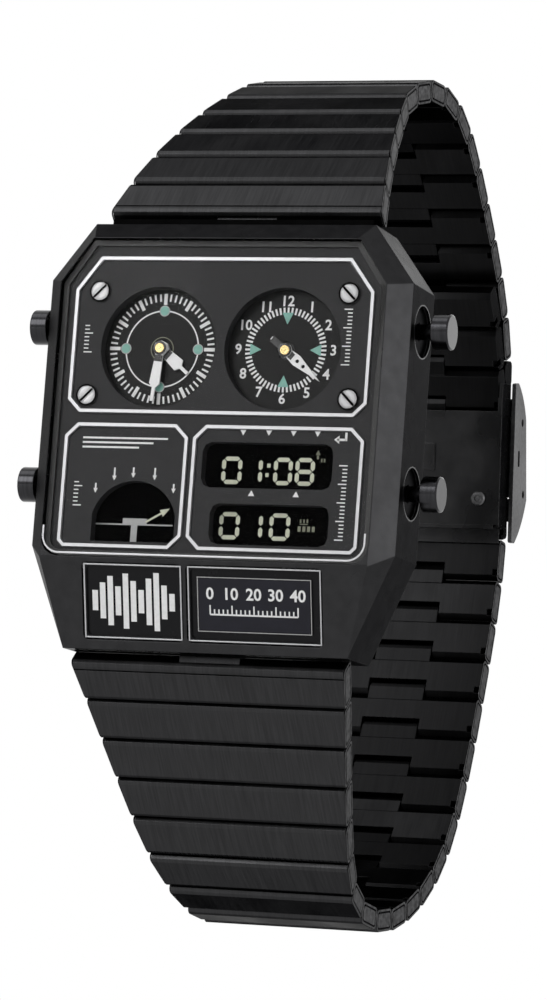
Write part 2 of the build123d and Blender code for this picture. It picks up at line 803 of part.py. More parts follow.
def lower_links():
    index = 1
    last = len(lower_turns)
    while index <= last:
        together = (index, index + 1) if index in lower_pairs else (index,)
        solids = [band_link(one, lower_pins, lower_turns, -1, lower_taper, one < last) for one in together]
        yield "lower_link_" + "_".join(f"{one:02d}" for one in together), solids
        index += len(together)


def run_of_links(pins, turns, joined):
    """Links of the narrow band, for the stretch inside the clasp and the tail."""
    halves = (band_narrow / 2, band_narrow / 2)
    solids = []
    for place, (pin, turn) in enumerate(zip(pins, turns)):
        solids.append(link(pin, turn, -1, halves, joined=joined or place < len(turns) - 1))
    return solids


def clasp_links():
    return run_of_links(hidden_pins, [hidden_turn] * hidden_links, joined=True)


def clasp_plane():
    return link_plane(lower_pins[-1], clasp_turn, -1)


def in_clasp(sketch, inner, outer):
    """The sketch as a pair of side plates of the clasp, between two distances from the middle plane."""
    block = extrude(clasp_plane() * sketch, outer, both=True)
    return block - extrude(clasp_plane() * sketch, inner, both=True)


def clasp_spot(at):
    """A place of the clasp as Y and Z."""
    spot = clasp_plane().from_local_coords(Vector(at[0], at[1], 0))
    return spot.Y, spot.Z


wall_inner = band_narrow / 2 + clasp_side
wall_outer = wall_inner + clasp_wall
flange_inner = wall_outer + flange_gap
flange_outer = flange_inner + clasp_wall


def box_at(low, high, inner, outer):
    return Pos((low + high) / 2, (inner + outer) / 2) * Rectangle(high - low, outer - inner)


def clasp_body():
    """The inner plate with two pairs of lugs, for the cover's hinge and for the hook's bar."""
    floor = box_at(floor_low, floor_high, floor_back, floor_back + floor_thick)
    body = extrude(clasp_plane() * floor, wall_outer, both=True)
    for (low, high), out in ((lug_low, lug_low_out), (lug_high, lug_high_out)):
        corners = rounded_corner(high - edge_round, out - edge_round, edge_round, 0)
        corners += rounded_corner(low + edge_round, out - edge_round, edge_round, 90)
        lug = Polygon(*corners, (low, floor_back), (high, floor_back), align=None)
        body += in_clasp(lug, wall_inner, wall_outer)
    top = box_at(floor_high - clasp_wall, lug_high[1], floor_back, floor_back + floor_thick)
    body += in_clasp(top, wall_inner, wall_outer)
    flap = box_at(flap_at - flap_long / 2, flap_at + flap_long / 2, floor_back - flap_deep, floor_back)
    body += extrude(clasp_plane() * flap, flap_half, both=True)
    body -= cross_bar(*clasp_spot(hinge_at), flat_bore(hinge_stub_r + running), flange_outer + overrun)
    return body + cross_bar(*clasp_spot(hook_bar_at), flats(hook_bar_r), wall_outer)


def bowed(start, end):
    """An arc between two points, bowed outwards from the straight line."""
    (x0, y0), (x1, y1) = start, end
    long = hypot(x1 - x0, y1 - y0)
    middle = ((x0 + x1) / 2 - cover_bulge * (y1 - y0) / long, (y0 + y1) / 2 + cover_bulge * (x1 - x0) / long)
    return ThreePointArc(start, middle, end)


def cover_side():
    """The cover's side outline: a long plate with bowed ends."""
    low_in, high_in = (cover_tip_low[0] + edge_round, cover_in), (cover_tip_high[0] - edge_round, cover_in)
    edge = bowed(cover_tip_low, cover_bend_low) + Line(cover_bend_low, cover_bend_high)
    edge += bowed(cover_bend_high, cover_tip_high)
    side = make_face(edge + Polyline(cover_tip_high, high_in, low_in, cover_tip_low))
    along = side.vertices().sort_by(Axis.X)
    return chamfer([along[0], along[-1]], edge_round)


def clasp_cover():
    """The outer plate with two flanges, on two hinge studs near its lower end."""
    side = cover_side()
    cover = in_clasp(side, flange_inner, flange_outer)
    rim = side - offset(side, -cover_thick)
    rim &= box_at(cover_plate_low, cover_plate_high, cover_in + 2 * cover_thick, cover_bend_low[1] + overrun)
    cover += extrude(clasp_plane() * rim, flange_outer, both=True)
    for at in catch_at:
        cover -= cross_bar(*clasp_spot(at), flats(catch_r), flange_outer + overrun)
    slot = Pos(*slot_at) * Rectangle(slot_long, slot_tall)
    cover -= extrude(clasp_plane() * slot, flange_outer + overrun, both=True)
    y, z = clasp_spot(hinge_at)
    for way in (-1, 1):
        cover += side_post(way, wall_inner, y, z, pivot_outline(hinge_stub_r), flange_outer - wall_inner)
    return cover


def end_link():
    """The short end piece of the upper band, with a hook that holds the clasp's bar."""
    plane = link_plane(upper_pins[-1], clasp_turn + 180, 1)
    half = band_narrow / 2
    body = extrude(plane * slat_profile(end_link_long), half, both=True)
    opening = notch(-lead - overrun, web_start, knuckle_r + skin_gap)
    body -= extrude(plane * opening, link_half + link_side, both=True)
    body += extrude(plane * flats(pin_r), link_half + link_side + running, both=True)
    bar = (clasp_long - hook_bar_at[0], hook_bar_at[1])
    mouth = Pos(bar[0] - hook_r / 2, bar[1] - hook_r) * Rectangle(hook_r, 2 * hook_r)
    slab = Rectangle(bar[0] - web_start, hook_slab)
    arm = Pos((web_start + bar[0]) / 2, bar[1] + hook_r - hook_slab / 2) * slab
    hook = Pos(*bar) * flats(hook_r) + arm - Pos(*bar) * flat_bore(hook_bar_r + running) - mouth
    return body + extrude(plane * hook, hook_half, both=True)


def tail_links():
    return run_of_links(tail_pins, tail_turns, joined=False)


def save(name, solids):
    made = solids if isinstance(solids, list) else [solids]
    loose = [solid for shape in made for solid in shape.solids()]
    export_step(Compound(children=loose), f"parts/{name}.step")


os.makedirs("parts", exist_ok=True)
for make in (case_body, caseback, screws, crystal, seals, faceplate, face_frames, subdials, display_panels,
             badge_plates, hour_hand, minute_hand, zone_hand, hand_drives, circuit_board, movement_tray, battery,
             contact_springs, spring_bars, clasp_links, clasp_body, clasp_cover, end_link, tail_links):
    save(make.__name__, make())
for side, hand in ((1, "right"), (-1, "left")):
    for row, level in zip(button_rows, ("upper", "lower")):
        save(f"{level}_{hand}_button", button(side, row))
for name, solids in list(upper_links()) + list(lower_links()):
    save(name, solids)
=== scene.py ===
"""The looks of the wristwatch: materials, printed dials, displays, inlays, light and camera.

Outlines and places are in millimetres, and MM turns them into Blender's metres. Lamps, world and floor are in
metres. Angles are in degrees until radians() takes them.
"""
import json
from math import atan2, cos, hypot, pi, radians, sin

import bmesh
import bpy
from mathutils import Matrix, Vector


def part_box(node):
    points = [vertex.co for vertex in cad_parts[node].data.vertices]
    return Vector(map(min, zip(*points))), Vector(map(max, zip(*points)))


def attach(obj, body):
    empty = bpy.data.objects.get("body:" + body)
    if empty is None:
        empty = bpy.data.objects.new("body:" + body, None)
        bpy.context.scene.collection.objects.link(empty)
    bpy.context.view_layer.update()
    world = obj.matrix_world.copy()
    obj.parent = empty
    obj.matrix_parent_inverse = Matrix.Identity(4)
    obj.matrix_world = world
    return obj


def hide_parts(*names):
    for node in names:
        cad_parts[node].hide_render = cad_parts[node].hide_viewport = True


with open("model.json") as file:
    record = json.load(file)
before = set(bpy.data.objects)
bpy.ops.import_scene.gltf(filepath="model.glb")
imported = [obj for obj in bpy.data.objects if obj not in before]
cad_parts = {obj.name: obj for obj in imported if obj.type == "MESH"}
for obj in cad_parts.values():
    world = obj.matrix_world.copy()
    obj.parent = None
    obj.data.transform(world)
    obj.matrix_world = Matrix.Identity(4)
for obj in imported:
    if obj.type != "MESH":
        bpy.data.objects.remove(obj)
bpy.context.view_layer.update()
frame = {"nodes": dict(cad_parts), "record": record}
nodes = frame["nodes"]

MM = 0.001
SHEET = 0.03             # thickness of a printed mark
THIN = 0.008             # thickness of a mark that only darkens what it lies on
PROUD = 0.01             # how far a mark's back stands over its ground
SHARP = radians(15)      # edges of turned pieces past this angle stay sharp
BUMP_DEPTH = 0.00002     # of the grain, in metres

# Places of the CAD model that the marks and inlays sit on
CRYSTAL_Y = -9.95
FACE_Y = -9.0
WELL_Y = -8.0
DIAL_X = 5.65
DIAL_Z = 7.5
RIM_Y = -7.55
CASE_END = 18.5
BEVEL_RISE = 2.2
VIEW_FOOT = -10.8
BUTTON_Y = -4.3
ROWS = (("upper", 9.9), ("lower", -4.0))
ENDS = (("right", 1), ("left", -1))

# The bracelet: the pitch of its pins, a slat's outline from its pin, the band's widths, and the slats' turns
# from the case on. A band is (name, side, turns, first pin's depth and height, slats over which it tapers).
PITCH, LEAD, SLAT_END, INNER, OUTER = 4.12, 0.75, 3.25, -0.70, 1.30
NARROW, WIDE = 16.4, 24.6
UPPER = (51, 45, 40, 36, 32, 25, 16, 4, -10, -26, -38, -42, -44, -47, -54, -65)
LOWER = (-49, -50, -50, -49, -44, -34, -20, -6, 6, 15, 23, 32, 43, 55, 63, 67, 70, 71, 73, 78, 86)
BANDS = (("upper", 1, UPPER, (-4.05, 19.8), 5.4), ("lower", -1, LOWER, (-5.3, -19.3), 6.5))
CLASP_HALF = 8.33


# Outlines, as lists of points
def circle(x, z, radius, count=48):
    turns = [2 * pi * k / count for k in range(count)]
    return [(x + radius * cos(turn), z + radius * sin(turn)) for turn in turns]


def arc(x, z, radius, start, stop, count):
    steps = [radians(start + (stop - start) * k / count) for k in range(count + 1)]
    return [(x + radius * cos(turn), z + radius * sin(turn)) for turn in steps]


def box(left, right, foot, top):
    return [(left, foot), (right, foot), (right, top), (left, top)]


def bar(x0, z0, x1, z1, wide):
    """A straight stroke from one point to another."""
    long = hypot(x1 - x0, z1 - z0)
    sx, sz = -(z1 - z0) / long * wide / 2, (x1 - x0) / long * wide / 2
    return [(x0 - sx, z0 - sz), (x1 - sx, z1 - sz), (x1 + sx, z1 + sz), (x0 + sx, z0 + sz)]


def spoke(x, z, turn, inner, outer, wide):
    """A radial stroke, the turn counted clockwise from 12 o'clock."""
    s, c = sin(radians(turn)), cos(radians(turn))
    return bar(x + inner * s, z + inner * c, x + outer * s, z + outer * c, wide)


def ring_strips(outer, inner):
    """The quads between two closed outlines with the same number of points."""
    count = len(outer)
    return [[outer[k], outer[(k + 1) % count], inner[(k + 1) % count], inner[k]] for k in range(count)]


def round_line(x, z, outer, inner, count=48):
    return ring_strips(circle(x, z, outer, count), circle(x, z, inner, count))


def frame_of(outer, wide):
    """A line inside the edge of a box."""
    left, right, foot, top = outer
    return ring_strips(box(left, right, foot, top), box(left + wide, right - wide, foot + wide, top - wide))


# Grounds, which turn a mark's two coordinates and its height over the ground into a point in metres
def face_place(y):
    """A flat ground at the depth y."""
    return lambda x, z, high: Vector((x, y - high, z)) * MM


def slope_place(sink):
    """The sloping foot of the case, or a ground sunk into it: z runs up the slope from the foot edge."""
    run = CASE_END + VIEW_FOOT
    slope = hypot(BEVEL_RISE, run)
    out = Vector((0, -run / slope, -BEVEL_RISE / slope))
    up = Vector((0, -BEVEL_RISE / slope, run / slope))
    root = Vector((0, RIM_Y, -CASE_END))
    return lambda x, z, high: (root + Vector((x, 0, 0)) + up * z + out * (high - sink)) * MM


def end_place(pin, turn, side, halves, end):
    """The right (1) or left (-1) end of a slat, with coordinates along the band from its pin and outwards."""
    s, c = sin(radians(turn)), cos(radians(turn))

    def place(along, out, high):
        half = halves[0] + (halves[1] - halves[0]) * along / PITCH
        y = pin[0] + along * c - side * out * s
        z = pin[1] + along * s + side * out * c
        return Vector((end * (half + high), y, z)) * MM
    return place


# Pieces
def new_piece(name, build, finish, body, smooth=False):
    """A mesh piece filled by the build function, on a CAD body."""
    mesh = bpy.data.meshes.new(name)
    bm = bmesh.new()
    build(bm)
    bmesh.ops.recalc_face_normals(bm, faces=bm.faces)
    bm.to_mesh(mesh)
    bm.free()
    for face in mesh.polygons:
        face.use_smooth = smooth
    mesh.materials.append(finish)
    piece = bpy.data.objects.new(name, mesh)
    bpy.context.scene.collection.objects.link(piece)
    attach(piece, body)
    return piece


def print_marks(name, shapes, place, finish, body="case", thick=SHEET):
    """Thin raised marks from flat outlines."""
    def build(bm):
        for shape in shapes:
            low = [bm.verts.new(place(x, z, PROUD)) for x, z in shape]
            high = [bm.verts.new(place(x, z, PROUD + thick)) for x, z in shape]
            bm.faces.new(low)
            bm.faces.new(high)
            for k in range(len(shape)):
                j = (k + 1) % len(shape)
                bm.faces.new((low[k], low[j], high[j], high[k]))
    new_piece(name, build, finish, body)


def lathe(name, profile, centre, axis, finish, body, count=32, hoop=False):
    """A turned piece: its profile is (distance along the axis, radius). A hoop's profile is closed."""
    axis = Vector(axis).normalized()
    side = axis.orthogonal().normalized()
    other = axis.cross(side)
    centre = Vector(centre)

    def build(bm):
        rows = []
        for along, radius in profile:
            row = []
            for k in range(count):
                turn = 2 * pi * k / count
                point = centre + axis * along + (side * cos(turn) + other * sin(turn)) * radius
                row.append(bm.verts.new(point * MM))
            rows.append(row)
        following = rows[1:] + rows[:1] if hoop else rows[1:]
        for one, two in zip(rows, following):
            for k in range(count):
                j = (k + 1) % count
                bm.faces.new((one[k], one[j], two[j], two[k]))
        if not hoop:
            bm.faces.new(rows[0])
            bm.faces.new(rows[-1])
    piece = new_piece(name, build, finish, body, smooth=True)
    piece.data.set_sharp_from_angle(angle=SHARP)
    return piece


def figures(name, marks, tall, place, finish):
    """Plain numbers of one height as thin raised marks on the case. Each is (text, x, z)."""
    made = []
    for text, x, z in marks:
        curve = bpy.data.curves.new(name, "FONT")
        curve.body = text
        curve.size = 1.4 * tall
        curve.align_x = "CENTER"
        curve.align_y = "CENTER"
        curve.offset = 0.028 * tall
        curve.resolution_u = 3
        curve.extrude = SHEET / 2
        source = bpy.data.objects.new(name, curve)
        bpy.context.scene.collection.objects.link(source)
        bpy.context.view_layer.update()
        mesh = bpy.data.meshes.new_from_object(source)
        bpy.data.objects.remove(source)
        xs = [v.co.x for v in mesh.vertices]
        ys = [v.co.y for v in mesh.vertices]
        cx, cy = (min(xs) + max(xs)) / 2, (min(ys) + max(ys)) / 2
        grow = tall / (max(ys) - min(ys))
        for v in mesh.vertices:
            v.co = place(x + (v.co.x - cx) * grow, z + (v.co.y - cy) * grow, PROUD + SHEET / 2 + v.co.z)
        made.append(mesh)

    def build(bm):
        for mesh in made:
            bm.from_mesh(mesh)
    new_piece(name, build, finish, "case")
    for mesh in made:
        bpy.data.meshes.remove(mesh)


# Materials
def add_node(tree, kind, operation=None, **values):
    """A shader node, with values for its sockets by name."""
    node = tree.nodes.new("ShaderNode" + kind)
    if operation:
        node.operation = operation
    for socket, value in values.items():
        node.inputs[socket.replace("_", " ")].default_value = value
    return node


def principled(name, **values):
    material = bpy.data.materials.new(name)
    material.use_nodes = True
    shader = material.node_tree.nodes["Principled BSDF"]
    for socket, value in values.items():
        shader.inputs[socket.replace("_", " ")].default_value = value
    return material


def grain(material, stretch, detail=3.0):
    """Noise in the object's own place, stretched along the axes."""
    tree = material.node_tree
    where = add_node(tree, "TexCoord")
    scale = add_node(tree, "Mapping", Scale=stretch)
    noise = add_node(tree, "TexNoise", Scale=1.0, Detail=detail)
    tree.links.new(where.outputs["Object"], scale.inputs["Vector"])
    tree.links.new(scale.outputs["Vector"], noise.inputs["Vector"])
    return noise.outputs["Fac"]


def ramp(material, source, socket, low, high, start=0.35, end=0.65):
    """Drives a socket by noise, between two values or two colours."""
    tree = material.node_tree
    shader = tree.nodes["Principled BSDF"]
    if isinstance(low, tuple):
        node = add_node(tree, "ValToRGB")
        for stop, position, colour in zip(node.color_ramp.elements, (start, end), (low, high)):
            stop.position = position
            stop.color = (*colour, 1)
        tree.links.new(source, node.inputs["Fac"])
        tree.links.new(node.outputs["Color"], shader.inputs[socket])
    else:
        node = add_node(tree, "MapRange", From_Min=start, From_Max=end, To_Min=low, To_Max=high)
        tree.links.new(source, node.inputs["Value"])
        tree.links.new(node.outputs["Result"], shader.inputs[socket])


def relief(material, source, strength, edge):
    """A bump from noise, over edges that look rounded where an edge radius is given."""
    tree = material.node_tree
    bump = add_node(tree, "Bump", Strength=strength, Distance=BUMP_DEPTH)
    tree.links.new(source, bump.inputs["Height"])
    if edge:
        soft = add_node(tree, "Bevel", Radius=edge * MM)
        soft.samples = 4
        tree.links.new(soft.outputs["Normal"], bump.inputs["Normal"])
    tree.links.new(bump.outputs["Normal"], tree.nodes["Principled BSDF"].inputs["Normal"])


def plain(name, colour, rough, fleck=0.15, scale=900, edge=0.05, **values):
    """A finish with slight mottling of colour and gloss."""
    material = principled(name, **values)
    noise = grain(material, (scale, scale, scale))
    low = tuple(c * (1 - fleck) for c in colour)
    high = tuple(min(1, c * (1 + fleck)) for c in colour)
    ramp(material, noise, "Base Color", low, high)
    ramp(material, noise, "Roughness", rough * 0.9, rough * 1.1)
    relief(material, noise, 0.04, edge)
    return material


def brushed(name, colour, rough, fleck, edge, stretch, strength, **values):
    """Satin steel, its grain drawn out along the axes."""
    material = principled(name, Metallic=1.0, **values)
    fine = grain(material, stretch, 2.0)
    broad = grain(material, (260, 160, 160), 3.0)
    low = tuple(c * (1 - fleck) for c in colour)
    high = tuple(c * (1 + fleck) for c in colour)
    ramp(material, fine, "Base Color", low, high, 0.3, 0.7)
    ramp(material, broad, "Roughness", rough * 0.85, rough * 1.15)
    relief(material, fine, strength, edge)
    return material


def paint_wrist_shade(material, centre, share):
    """Painted shade: darkens the faces that look towards a place inside the bracelet, the side that lies on
    the wrist.
    """
    tree = material.node_tree
    shader = tree.nodes["Principled BSDF"]
    colour = shader.inputs["Base Color"].links[0].from_socket
    where = add_node(tree, "TexCoord")
    way = add_node(tree, "VectorMath", "SUBTRACT")
    way.inputs[1].default_value = centre
    facing = add_node(tree, "VectorMath", "DOT_PRODUCT")
    shade = add_node(tree, "MapRange", From_Min=-0.004, From_Max=0.004, To_Min=share, To_Max=1.0)
    tinted = add_node(tree, "VectorMath", "MULTIPLY")
    tree.links.new(where.outputs["Object"], way.inputs[0])
    tree.links.new(way.outputs["Vector"], facing.inputs[0])
    tree.links.new(where.outputs["Normal"], facing.inputs[1])
    tree.links.new(facing.outputs["Value"], shade.inputs["Value"])
    tree.links.new(colour, tinted.inputs[0])
    tree.links.new(shade.outputs["Result"], tinted.inputs[1])
    tree.links.new(tinted.outputs["Vector"], shader.inputs["Base Color"])


def seen_by(tree, *rays):
    """1 for the named rays of the Light Path node and 0 for the others."""
    path = add_node(tree, "LightPath")
    share = path.outputs[rays[0]]
    for ray in rays[1:]:
        either = add_node(tree, "Math", "MAXIMUM")
        tree.links.new(share, either.inputs[0])
        tree.links.new(path.outputs[ray], either.inputs[1])
        share = either.outputs["Value"]
    return share


# How much the black steels mirror at grazing angles
EDGE = (0.42, 0.42, 0.42, 1)
SLAT_EDGE = (0.33, 0.33, 0.33, 1)
COVER_EDGE = (0.7, 0.7, 0.7, 1)

# Grain of the steels along X, Y and Z
EVEN = (900, 900, 900)
BLASTED = (2600, 2600, 2600)
DRAWN = (7000, 260, 260)
TURNED = (5000, 300, 300)

case_steel = brushed("case_steel", (0.026, 0.026, 0.027), rough=0.27, fleck=0.1, edge=0.13, stretch=EVEN,
                     strength=0.03, Specular_Tint=EDGE)
slat_steel = brushed("slat_steel", (0.031, 0.031, 0.032), rough=0.34, fleck=0.15, edge=0.10, stretch=DRAWN,
                     strength=0.08, Specular_Tint=SLAT_EDGE)
# Painted shade on the slats' wrist side
paint_wrist_shade(slat_steel, centre=(0, 0.021, 0), share=0.32)
plate_steel = brushed("plate_steel", (0.038, 0.038, 0.039), rough=0.30, fleck=0.1, edge=0.08, stretch=EVEN,
                      strength=0.03, Specular_Tint=SLAT_EDGE)
cover_steel = brushed("cover_steel", (0.13, 0.13, 0.132), rough=0.40, fleck=0.2, edge=0.08, stretch=BLASTED,
                      strength=0.10, Specular_Tint=COVER_EDGE)
cap_steel = brushed("cap_steel", (0.028, 0.028, 0.030), rough=0.17, fleck=0.2, edge=0.05, stretch=TURNED,
                    strength=0.04)
# A lighter grey for painted highlights on the slats' ends, also used for the clasp's stud
fold_highlight_and_stud_grey = brushed("fold_highlight_and_stud_grey", (0.100, 0.100, 0.102), rough=0.40, fleck=0.45, edge=0.03, stretch=BLASTED,
                   strength=0.10, Specular_Tint=EDGE)
rim_grey = brushed("rim_grey", (0.03, 0.03, 0.031), rough=0.3, fleck=0.1, edge=0.03, stretch=EVEN,
                   strength=0.02)

bright = plain("bright_steel", (0.42, 0.42, 0.43), rough=0.32, fleck=0.01, scale=1500, edge=0.09,
               Metallic=1.0)
screw_steel = plain("screw_steel", (0.34, 0.34, 0.345), rough=0.34, fleck=0.02, scale=1500, edge=0.35,
                    Metallic=1.0)
# Dark metal for the painted shade along the silver frames' sloped sides
frame_side_shade = plain("frame_side_shade", (0.03, 0.03, 0.03), rough=0.45, fleck=0.05, scale=1500, edge=None,
                   Metallic=1.0)
plain_steel = plain("plain_steel", (0.5, 0.5, 0.5), rough=0.35, Metallic=1.0)
brass = plain("spring_brass", (0.75, 0.56, 0.27), rough=0.25, fleck=0.1, scale=1500, Metallic=1.0)

face_black = plain("face_black", (0.017, 0.017, 0.018), rough=0.5, fleck=0.12, scale=2500,
                   Specular_IOR_Level=0.2)
dial_black = plain("dial_black", (0.007, 0.007, 0.007), rough=0.45, scale=2500, Specular_IOR_Level=0.15)
panel_black = plain("panel_black", (0.001, 0.001, 0.001), rough=0.3, fleck=0.1, scale=600, edge=None,
                    Specular_IOR_Level=0.0)
inlay_black = plain("inlay_black", (0.004, 0.004, 0.005), rough=0.25, fleck=0.1, Specular_IOR_Level=0.12)
inlay_field = plain("inlay_field", (0.012, 0.012, 0.018), rough=0.35, fleck=0.1, Specular_IOR_Level=0.15)
# Black for the screws' slots and rims, and for the painted shade strips at the case's ends
slot_and_shade_black = plain("slot_and_shade_black", (0.004, 0.004, 0.004), rough=0.6, edge=None, Specular_IOR_Level=0.0)
seal_black = plain("seal_black", (0.02, 0.02, 0.02), rough=0.6)
tray_black = plain("tray_black", (0.05, 0.05, 0.05), rough=0.5)
board_green = plain("board_green", (0.02, 0.10, 0.04), rough=0.4)

white_lacquer = plain("white_lacquer", (0.90, 0.90, 0.90), rough=0.35, fleck=0.03, scale=1500, edge=0.03)
black_lacquer = plain("black_lacquer", (0.01, 0.01, 0.01), rough=0.3, fleck=0.1, scale=1500)
white_print = plain("white_print", (0.86, 0.86, 0.86), rough=0.5, fleck=0.04, scale=3000, edge=None)
grey_print = plain("grey_print", (0.42, 0.42, 0.42), rough=0.5, fleck=0.05, scale=3000, edge=None)
teal_print = plain("teal_print", (0.22, 0.47, 0.40), rough=0.5, fleck=0.08, scale=3000, edge=None)
segment_print = plain("segment_print", (0.62, 0.64, 0.50), rough=0.5, fleck=0.05, scale=3000, edge=None)
dim_print = plain("dim_print", (0.22, 0.23, 0.16), rough=0.5, fleck=0.08, scale=3000, edge=None)

crystal_clear = principled("crystal_clear", Base_Color=(0.02, 0.02, 0.02, 1), IOR=1.5, Alpha=0.02)
ramp(crystal_clear, grain(crystal_clear, (400, 400, 400)), "Roughness", 0.02, 0.05)

FINISHES = {
    "black_steel": case_steel, "bracelet": slat_steel, "bright_steel": bright, "crystal": crystal_clear,
    "seal": seal_black, "face": face_black, "dial": dial_black, "panel": panel_black, "hand": white_lacquer,
    "tray": tray_black, "board": board_green, "plain_steel": plain_steel, "spring_brass": brass,
}
# Nodes whose finish isn't their slot's
OWN = {
    "clasp_cover": cover_steel, "clasp_body": plate_steel, "badge_plates": inlay_black, "screws": screw_steel,
}
for part in frame["record"]["subparts"]:
    node = nodes[part["node"]]
    finish = OWN.get(part["node"], FINISHES[part["material_slot"]])
    if not node.material_slots:
        node.data.materials.append(finish)
    for held in node.material_slots:
        held.material = finish


# The left dial: minute ring, inner circle, dots with their rims, and the circle at the hands
# A stroke is (inner radius, outer radius, width)
MINUTE_STROKE, HOUR_STROKE, RING_STROKE = (4.15, 4.78, 0.16), (3.85, 4.82, 0.3), (3.08, 3.66, 0.17)
DOT_ORBIT, DOT, DOT_RIM = 3.31, 0.40, 0.48
INNER_CIRCLE, HAND_CIRCLE = (3.37, 3.25), (1.05, 0.98)
on_dial = face_place(WELL_Y)
over_dial = face_place(WELL_Y - SHEET - PROUD)
left_x, left_z = -DIAL_X, DIAL_Z
marks = [spoke(left_x, left_z, 6 * minute, *(MINUTE_STROKE if minute % 5 else HOUR_STROKE))
         for minute in range(60)]
marks += round_line(left_x, left_z, *INNER_CIRCLE, 72)
print_marks("left_dial_ring", marks, on_dial, white_print)
spots = [(left_x, left_z + DOT_ORBIT), (left_x + DOT_ORBIT, left_z), (left_x, left_z - DOT_ORBIT),
         (left_x - DOT_ORBIT, left_z)]
print_marks("left_dial_dots", [circle(x, z, DOT, 24) for x, z in spots], over_dial, teal_print)
rims = []
for x, z in spots:
    rims += round_line(x, z, DOT_RIM, DOT, 24)
print_marks("left_dial_dot_rims", rims, over_dial, grey_print)
print_marks("left_dial_boss", round_line(left_x, left_z, *HAND_CIRCLE), on_dial, dim_print)

# The right dial: hours, minute ring and four pointers, around the print's own middle
POINTER = ((-0.5, 3.2), (0.5, 3.2), (0, 2.2))
HOUR_TALL = 0.92
right_x, right_z = 5.61, 7.57
HOURS = [("12", 5.61, 11.80), ("1", 7.73, 11.30), ("2", 9.32, 9.77), ("3", 9.90, 7.60), ("4", 9.40, 5.53),
         ("5", 7.76, 3.92), ("6", 5.58, 3.38), ("7", 3.47, 3.92), ("8", 1.90, 5.50), ("9", 1.32, 7.60),
         ("10", 1.93, 9.69), ("11", 3.62, 11.27)]
figures("right_dial_hours", HOURS, HOUR_TALL, on_dial, white_print)
marks = [spoke(right_x, right_z, 6 * minute, *RING_STROKE) for minute in range(60)]
print_marks("right_dial_ring", marks, on_dial, white_print)
points = []
for turn in (0, 90, 180, 270):
    s, c = sin(radians(turn)), cos(radians(turn))
    points.append([(right_x + a * c + b * s, right_z - a * s + b * c) for a, b in POINTER])
print_marks("right_dial_pointers", points, over_dial, teal_print)


# Number displays, drawn with seven bars to a figure
SEGMENTS = {"0": "abcdef", "1": "bc", "8": "abcdefg"}
FIGURES = (    # figure, left, right, foot and top
    ("0", 0.62, 2.45, -4.04, -1.68), ("1", 3.9, 4.35, -4.04, -1.68), ("0", 5.31, 7.0, -4.04, -1.68),
    ("8", 7.25, 8.98, -4.04, -1.66), ("0", 0.75, 2.6, -8.78, -6.44), ("1", 4.28, 4.72, -8.78, -6.44),
    ("0", 5.28, 7.14, -8.78, -6.44),
)
COLON = [box(4.70, 5.0, -2.55, -2.22), box(4.60, 4.88, -3.36, -3.03)]


def seven(digit, left, right, foot, top, wide=0.36, gap=0.06):
    """The lit bars of one figure."""
    middle = (foot + top) / 2
    half = wide / 2
    x0, x1 = left + half, right - half
    z0, z1 = foot + half, top - half
    if digit == "1":
        x0 = x1 = (left + right) / 2
    ends = {
        "a": (x0, z1, x1, z1), "b": (x1, middle, x1, z1), "c": (x1, z0, x1, middle), "d": (x0, z0, x1, z0),
        "e": (x0, z0, x0, middle), "f": (x0, middle, x0, z1), "g": (x0, middle, x1, middle),
    }
    shapes = []
    for key in SEGMENTS[digit]:
        ax, az, bx, bz = ends[key]
        ux, uz = bx - ax, bz - az
        long = hypot(ux, uz)
        ux, uz = ux / long, uz / long
        px, pz = -uz * half, ux * half
        a, b, c, d = gap, gap + half, long - gap - half, long - gap
        shapes.append([(ax + ux * t + px * n, az + uz * t + pz * n)
                       for t, n in ((a, 0), (b, -1), (c, -1), (d, 0), (c, 1), (b, 1))])
    return shapes


lit = []
for figure in FIGURES:
    lit += seven(*figure)
print_marks("display_figures", lit + COLON, on_dial, segment_print)
small = [[(8.98, -1.38), (9.42, -1.38), (9.2, -0.98)], box(9.12, 9.28, -1.75, -1.42),
         box(9.5, 9.62, -2.0, -1.7), box(9.75, 9.87, -2.0, -1.7), box(8.0, 8.7, -7.35, -7.28)]
small += [box(8.0 + 0.3 * k, 8.12 + 0.3 * k, -7.2, -6.9) for k in range(3)]
small += [box(7.85 + 0.42 * k, 8.1 + 0.42 * k, -7.95, -7.5) for k in range(4)]
print_marks("display_small_marks", small, on_dial, dim_print)

# The function window: line, post and pointer
WINDOW = [box(-10.68, -3.49, -7.80, -7.68), box(-8.07, -5.86, -7.68, -7.21), box(-7.27, -6.70, -9.45, -7.80)]
TIP, TAIL = (-3.84, -6.29), (-5.95, -7.50)
HEAD_LONG, HEAD_HALF, SHAFT = 0.85, 0.33, 0.16
print_marks("window_line", WINDOW, on_dial, grey_print)
turn = atan2(TIP[1] - TAIL[1], TIP[0] - TAIL[0])
s, c = sin(turn), cos(turn)
neck = (TIP[0] - HEAD_LONG * c, TIP[1] - HEAD_LONG * s)
head = [TIP, (neck[0] - HEAD_HALF * s, neck[1] + HEAD_HALF * c),
        (neck[0] + HEAD_HALF * s, neck[1] - HEAD_HALF * c)]
print_marks("window_pointer", [bar(*TAIL, *neck, SHAFT), head], face_place(WELL_Y - 0.02), segment_print)

